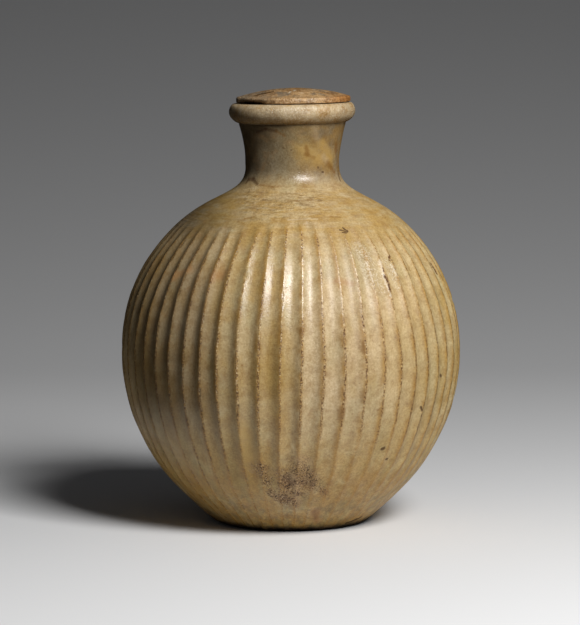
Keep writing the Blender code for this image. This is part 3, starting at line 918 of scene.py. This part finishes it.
# The bottle's roughness and relief, and what is added to them: how much, in which zones and patches
PLAIN_ROUGH, POLISHED_ROUGH, RIM_ROUGH = 0.46, 0.29, 0.22
BOTTLE_GLOSS = 0.55
BOTTLE_ROUGH = [
    (-0.09, ["arrises, rubbed"], (0.0012, 0.40, 0.56)),
    (-0.06, ["granular"], None),
    (0.03, [], (0.006, 0.35, 0.65)),
    (0.45, ["dull"], None),
]
BOTTLE_RELIEF = [
    (1.3, ["shoulder"], (0.006, 0.35, 0.65, TURNED)),
    (2.0, ["neck's foot"], (0.0016, 0.35, 0.65, STREAKED)),
    (0.45, ["fine grain"], None),
    (4.0, ["granular", "fine grain"], None),
    (-2.0, ["crust", "crumbs"], None),
    (-1.0, ["dots"], None),
]
BOTTLE_GRAINS = (0.0009, 0.0005)  # sizes of the coarse and the fine grain
BOTTLE_BUMP = (0.7, 0.0001)  # strength and height of the relief

# Dirt along the arrises: its patches, more of them at mid height, and the share of it low down and where it is clean
DIRT = (0.014, 0.36, 0.58)
DIRT_MIDDLE = (0.010, 0.30, 0.46)
DIRT_LOW, DIRT_CLEAN = 0.7, 0.25
DOTS = (0.0007, 0.44, 0.60)
CRUMBS = (0.0006, 0.52, 0.58)  # of the crust
RIM_GRANULAR = 0.7
FRAYED_BASE = (0.0030, 0.30, 0.70, UPRIGHT)  # patches that fray the dark line under the base, and how far
FRAYED_BY = 0.0007

# Between which values a grain's noise darkens the stone, and the scale and detail of the noises that fray marks
MOTTLED = (0.35, 0.65)
SPECKLED = (0.38, 0.62)
FINE_FRAY = (1300.0, 3.0)
BROAD_FRAY = (220.0, 4.0)


def new_material(name):
    """A new material: itself, its tree, its shader, the place on the object that its patterns read, and its axes."""
    made = bpy.data.materials.new(name)
    made.use_nodes = True
    tree = made.node_tree
    where = tree.nodes.new("ShaderNodeTexCoord").outputs["Object"]
    return made, tree, tree.nodes["Principled BSDF"], where, node(tree, "ShaderNodeSeparateXYZ", {0: where}).outputs


class Stone:
    """A stone in the making: its material, what its zones and patterns read, and the colour laid down so far."""

    def __init__(self, name, colour, zones):
        """Starts a stone with its ground colour and its own zones."""
        self.made, self.tree, self.shader, self.where, axes = new_material(name)
        self.read = {"across": axes["X"], "up": axes["Z"]}
        self.colour, self.zones, self.masks, self.places = colour, zones, {}, {EVEN: self.where}

    def attribute(self, name):
        """What the mesh keeps under a name."""
        return node(self.tree, "ShaderNodeAttribute", attribute_name=name).outputs["Fac"]

    def zone(self, name):
        """The mask of a zone: the product of its limits and of the zones that it lies in."""
        if name not in self.masks:
            limits = [
                self.zone(limit) if isinstance(limit, str) else between(self.tree, self.read[limit[0]], *limit[1:])
                for limit in self.zones[name]
            ]
            self.masks[name] = times(self.tree, *limits)
        return self.masks[name]

    def cloud(self, size, low, high, drawn_out=EVEN):
        """Soft patches of a size in metres."""
        if drawn_out not in self.places:
            mapping = node(self.tree, "ShaderNodeMapping", {"Vector": self.where, "Scale": drawn_out})
            self.places[drawn_out] = mapping.outputs[0]
        inputs = {"Place": self.places[drawn_out], "Size": size, "Low": low, "High": high}
        return node(self.tree, "ShaderNodeGroup", inputs, node_tree=CLOUD).outputs["Mask"]

    def held(self, zones, patches):
        """One mask: the product of zones and of patches, if there are any."""
        masks = [self.zone(name) for name in zones]
        return times(self.tree, *masks, *([self.cloud(*patches)] if patches else []))

    def frayed(self, noisy, ragged):
        """How far a noise pushes an edge in and out: about 0, with a given height."""
        return plus(self.tree, noisy, ragged, -ragged / 2)

    def paint(self, layers):
        """Lays colours one over another."""
        for blend, tint, strength, zones, patches in layers:
            mask = self.held(zones, patches)
            mask = mask if strength == 1.0 else times(self.tree, mask, strength)
            self.colour = lay(self.tree, self.colour, tint, mask, blend)

    def add(self, value, parts):
        """A roughness or a height with parts added to it."""
        for amount, zones, patches in parts:
            value = plus(self.tree, self.held(zones, patches), amount, value)
        return value

    def grains(self, coarse, fine):
        """The heights of a coarse and of a fine grain, whose mottles become the zones "mottle" and "speckle"."""
        heights = []
        for name, size, limits in ("mottle", coarse, MOTTLED), ("speckle", fine, SPECKLED):
            grain = node(self.tree, "ShaderNodeGroup", {"Place": self.where, "Size": size}, node_tree=GRAIN).outputs
            self.masks[name] = between(self.tree, grain["Mottle"], *limits)
            heights.append(grain["Height"])
        return heights

    def mark(self, piece, marks):
        """Lays separate marks, each along the straight line between the two points that its pixels meet."""
        fray = noise(self.tree, self.where, *FINE_FRAY)
        for start, end, width, (soft, ragged, strength, tint) in marks.values():
            inputs = {"Place": self.where, "Start": met(piece, start), "End": met(piece, end), "Width": width,
                      "Soft": soft, "Ragged": self.frayed(fray, ragged)}
            mask = node(self.tree, "ShaderNodeGroup", inputs, node_tree=MARK).outputs["Mask"]
            self.colour = lay(self.tree, self.colour, tint, times(self.tree, mask, strength))

    def finish(self, rough, height, strength, distance):
        """The finished material: its colour, roughness and relief feed the shader."""
        self.tree.links.new(self.colour, self.shader.inputs["Base Color"])
        self.tree.links.new(rough, self.shader.inputs["Roughness"])
        inputs = {"Height": height, "Strength": strength, "Distance": distance}
        normal = node(self.tree, "ShaderNodeBump", inputs).outputs[0]
        self.tree.links.new(normal, self.shader.inputs["Normal"])
        return self.made


def bottle_stone(piece):
    """Honey alabaster: pale, sage and golden clouds drawn out upright, turning marks and level veins on the shoulder,
    brown dots, dirt and glints along the arrises, painted highlights on the front right arrises, amber on each
    flute's right wall that is a stain and painted shade, tones that follow the photograph, among them painted shade
    on the left flank, the left shoulder and the left of the neck, and painted shade under the base, dark crust low on
    the front, a sugary grain whose whitish specks are also painted glints on the right arrises and the rim, and
    separate spots and veins, with painted glints on chipped faces and a painted highlight along the guide line. It is
    duller where it is dark and smoother on the left and the rim."""
    stone = Stone("honey_alabaster", HONEY, BOTTLE_ZONES)
    tree, masks = stone.tree, stone.masks
    stone.read["arris"] = stone.attribute("arris")
    stone.read["side"] = stone.attribute("side")
    stone.paint(BOTTLE_STONE)

    dirt = maths(tree, "MAXIMUM", stone.cloud(*DIRT), stone.held(["mid height"], DIRT_MIDDLE))
    less = [graded(tree, stone.zone("low"), 1.0, DIRT_LOW), graded(tree, stone.zone("clean"), 1.0, DIRT_CLEAN)]
    masks["dirt"] = times(tree, dirt, *less)
    masks["dots"] = times(tree, stone.held(["arrises, dotted"], DOTS), masks["dirt"])
    stone.paint(BOTTLE_ARRISES)

    coarse, masks["fine grain"] = stone.grains(*BOTTLE_GRAINS)
    stone.read["frayed height"] = plus(tree, stone.cloud(*FRAYED_BASE), -FRAYED_BY, stone.read["up"])
    stone.paint(BOTTLE_TONES)

    fray = noise(tree, stone.where, *BROAD_FRAY)

    def broad(kind, soft, ragged):
        """The mask of one kind of broad mark, its edge softened and frayed."""
        nearness = plus(tree, stone.attribute(kind), 1.0, stone.frayed(fray, ragged))
        return between(tree, nearness, 1.0 - soft, 1.0 + soft)

    for kind, (soft, ragged, strength, tint) in BROAD_LOOKS.items():
        masks[kind] = broad(kind, soft, ragged)
        stone.paint([(LAID, tint, strength, [kind], None)])
    masks["crumbs"] = stone.cloud(*CRUMBS)
    masks["crust"] = broad("crust", *CRUST_EDGE)
    grainy_rim = times(tree, stone.zone("rim"), RIM_GRANULAR)
    masks["granular"] = maths(tree, "MAXIMUM", grainy_rim, broad("granular", *GRANULAR_EDGE))
    stone.paint(BOTTLE_CRUST)
    stone.mark(piece, FINE_MARKS)

    stone.read["paleness"] = node(tree, "ShaderNodeRGBToBW", {"Color": stone.colour}).outputs["Val"]
    rough = graded(tree, stone.zone("polished"), PLAIN_ROUGH, POLISHED_ROUGH)
    rough = stone.add(graded(tree, stone.zone("rim"), rough, RIM_ROUGH), BOTTLE_ROUGH)
    stone.shader.inputs["Specular IOR Level"].default_value = BOTTLE_GLOSS
    return stone.finish(rough, stone.add(coarse, BOTTLE_RELIEF), *BOTTLE_BUMP)


# The lid's stone: colours, linear, zones, layers, marks and relief, told as the bottle's are
LID_BROWN = (0.390, 0.230, 0.098)
LID_TAN = (0.610, 0.400, 0.195)
LID_GREY = (0.220, 0.205, 0.166)
LID_ORANGE = (0.440, 0.200, 0.058)
LID_ZONES = {
    "left": [("across", 0.000, -0.020)],
    "right": [("across", 0.011, 0.0218)],
    "edge": [("up", SEAT_HEIGHT + LID_EDGE + 0.0012, SEAT_HEIGHT + LID_EDGE)],
}
LID_LAYERS = [
    (LAID, LID_TAN, 1.0, [], (0.006, 0.40, 0.60)),
    (LAID, LID_GREY, 0.70, [], (0.004, 0.48, 0.62)),
    (LAID, LID_TAN, 0.60, ["edge"], None),
    (LAID, LID_GREY, 0.55, ["left"], None),
    (LAID, LID_ORANGE, 0.90, ["right", "edge"], None),
    (LAID, LID_ORANGE, 0.50, ["right"], (0.004, 0.30, 0.60)),
    (TONED, (0.50, 0.41, 0.32), 0.75, ["mottle"], None),
    (TONED, (0.66, 0.56, 0.46), 0.60, ["speckle"], None),
]
LID_MARKS = {
    "scratch": ((256, 95.5), (271, 92), 0.0012, PIT),
    "scratch beside it": ((268, 92), (281, 90), 0.0008, FAINT_VEIN),
    "dark patch at the back": ((288, 89), (306, 88.5), 0.0020, FAINT_VEIN),
    # painted glints on the lid
    "glint, left": ((289, 93), (290.5, 91.5), 0.00042, PAINTED_GLINT),
    "glint beside it": ((294, 91), (295, 90), 0.00042, PAINTED_GLINT),
    "glint, right": ((314, 90), (318, 90), 0.00042, PAINTED_GLINT),
    "glint, middle": ((300, 93), (303, 93), 0.00040, PAINTED_GLINT),
}
LID_GRAINS = (0.0012, 0.0006)
LID_FINE_GRAIN = 0.6
LID_ROUGH = (0.22, 0.42)
LID_ROUGH_PATCHES = (0.003, 0.35, 0.65)
LID_BUMP = (1.0, 0.00026)


def lid_stone(piece):
    """Brown alabaster: tan and grey patches, greyer on the left and orange at the right edge, grainy, with scratches
    and painted glints."""
    stone = Stone("brown_alabaster", LID_BROWN, LID_ZONES)
    coarse, fine = stone.grains(*LID_GRAINS)
    stone.paint(LID_LAYERS)
    stone.mark(piece, LID_MARKS)
    rough = graded(stone.tree, stone.cloud(*LID_ROUGH_PATCHES), *LID_ROUGH)
    return stone.finish(rough, plus(stone.tree, fine, LID_FINE_GRAIN, coarse), *LID_BUMP)


# The floor that sweeps up behind: where it begins and ends along its own length, where its bend starts, the bend's
# radius, and its greys, linear, which are painted light and shade: the lamp's falloff from near the object to far
# behind
SWEEP_ENDS = (-1.2, 4.4)
SWEEP_BEND_AT = 0.5
SWEEP_BEND = 1.6
SWEEP_HALF_WIDTH = 2.5
SWEEP_ROWS, SWEEP_COLUMNS = 160, 12
GIVEN_BACK = 1.15  # share of its paleness with which the floor lights the object, close to it
DARK_FROM = 0.20  # distance from the axis past which it gives nothing back, as if dark cards stood there
DARK_WITHIN = 0.040  # and nothing from right beside the base, which stands in its own shade
FLOOR_NEAR_PAINTED_LIGHT = (0.71, 0.71, 0.71)
FLOOR_MIDDLE_PAINTED_LIGHT = (0.80, 0.80, 0.80)
FLOOR_FAR_PAINTED_SHADE = (0.44, 0.44, 0.44)
NO_LIGHT = (0.0, 0.0, 0.0)
MIDDLE_AT = (0.15, 0.65)  # distances along the sweep over which one grey turns into the next
FAR_AT = (0.5, 2.0)
FLOOR_ROUGH, FLOOR_GLOSS = 0.9, 0.1

# The lamp's direction and distance from the belly, its size and power, and the dim room round it
LAMP_AZIMUTH = math.radians(34.0)
LAMP_ELEVATION = math.radians(41.5)
LAMP_DISTANCE = 0.90
LAMP_WIDTH, LAMP_HEIGHT = 0.33, 0.34
LAMP_POWER = 10.5
ROOM_COLOUR = (0.5, 0.5, 0.52, 1.0)
ROOM_STRENGTH = 0.085


def make_stage():
    """A pale floor that runs up behind in one sweep: level, then a quarter circle, then upright. Its grey is painted
    light
    and shade: paler near the object than far behind it, as the lamp's light falls off. It lights the object only from
    close by, as if dark cards stood farther out."""
    length = np.linspace(*SWEEP_ENDS, SWEEP_ROWS)
    angle = np.clip((length - SWEEP_BEND_AT) / SWEEP_BEND, 0.0, math.pi / 2)
    risen = np.maximum(length - SWEEP_BEND_AT - SWEEP_BEND * math.pi / 2, 0.0)
    y = np.minimum(length, SWEEP_BEND_AT) + SWEEP_BEND * np.sin(angle)
    z = SWEEP_BEND * (1.0 - np.cos(angle)) + risen
    x = np.linspace(-SWEEP_HALF_WIDTH, SWEEP_HALF_WIDTH, SWEEP_COLUMNS)
    points = np.stack(np.broadcast_arrays(x[None], y[:, None], z[:, None]), axis=-1).reshape(-1, 3)
    first = (np.arange(len(length) - 1)[:, None] * len(x) + np.arange(len(x) - 1)).ravel()
    faces = np.stack([first, first + 1, first + len(x) + 1, first + len(x)], axis=1)
    mesh = bpy.data.meshes.new("sweep")
    mesh.from_pydata(points.tolist(), [], faces.tolist())
    mesh.shade_smooth()
    sweep = bpy.data.objects.new("sweep", mesh)
    bpy.context.scene.collection.objects.link(sweep)
    made, tree, shader, where, axes = new_material("floor_paper")
    along = maths(tree, "ADD", axes["Y"], axes["Z"])
    # painted light and shade: the floor's grey falls off from near the object to far behind, as the lamp's light
    # would
    colour = lay(tree, FLOOR_NEAR_PAINTED_LIGHT, FLOOR_MIDDLE_PAINTED_LIGHT, between(tree, along, *MIDDLE_AT))
    colour = lay(tree, colour, FLOOR_FAR_PAINTED_SHADE, between(tree, along, *FAR_AT))
    from_axis = vectors(tree, "LENGTH", where, put="Value")
    bright = times(tree, between(tree, from_axis, DARK_FROM, DARK_FROM / 2), GIVEN_BACK,
                   between(tree, from_axis, BASE_RADIUS, DARK_WITHIN))
    given_back = lay(tree, NO_LIGHT, colour, bright)
    seen = tree.nodes.new("ShaderNodeLightPath").outputs["Is Camera Ray"]
    tree.links.new(lay(tree, given_back, colour, seen), shader.inputs["Base Color"])
    shader.inputs["Roughness"].default_value = FLOOR_ROUGH
    shader.inputs["Specular IOR Level"].default_value = FLOOR_GLOSS
    mesh.materials.append(made)


def make_light():
    """One large flat soft lamp from the upper right, aimed at the belly, and a very dim room."""
    data = bpy.data.lights.new("key", "AREA")
    data.shape = "RECTANGLE"
    data.size, data.size_y, data.energy = LAMP_WIDTH, LAMP_HEIGHT, LAMP_POWER
    lamp = bpy.data.objects.new("key", data)
    bpy.context.scene.collection.objects.link(lamp)
    level, rise = math.cos(LAMP_ELEVATION), math.sin(LAMP_ELEVATION)
    away = Vector((math.sin(LAMP_AZIMUTH) * level, -math.cos(LAMP_AZIMUTH) * level, rise))
    lamp.location = Vector((0.0, 0.0, BELLY_HEIGHT)) + LAMP_DISTANCE * away
    lamp.rotation_euler = away.to_track_quat("Z", "Y").to_euler()
    world = bpy.data.worlds.new("room")
    world.use_nodes = True
    background = world.node_tree.nodes["Background"].inputs
    background["Color"].default_value = ROOM_COLOUR
    background["Strength"].default_value = ROOM_STRENGTH
    bpy.context.scene.world = world
    bpy.context.scene.view_settings.view_transform = "Standard"


def make_camera():
    """The camera of the photograph."""
    data = bpy.data.cameras.new("camera")
    data.sensor_width = SENSOR
    data.lens = FOCAL_PIXELS * SENSOR / IMAGE_HEIGHT
    camera = bpy.data.objects.new("camera", data)
    camera.location = CAMERA_AT
    camera.rotation_euler = (math.pi / 2 - CAMERA_PITCH, 0.0, 0.0)
    bpy.context.scene.collection.objects.link(camera)
    bpy.context.scene.camera = camera


def finish_piece(piece, material, node_name):
    """Gives a piece its material, hangs it under the body's root, and hides the imported part that it stands in for.
    """
    piece.data.materials.append(material)
    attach(piece, "root")
    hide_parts(node_name)


bottle, lid = make_bottle(), make_lid()
bpy.context.view_layer.update()
finish_piece(bottle, bottle_stone(bottle), "bottle")
finish_piece(lid, lid_stone(lid), "lid")
make_stage()
make_light()
make_camera()
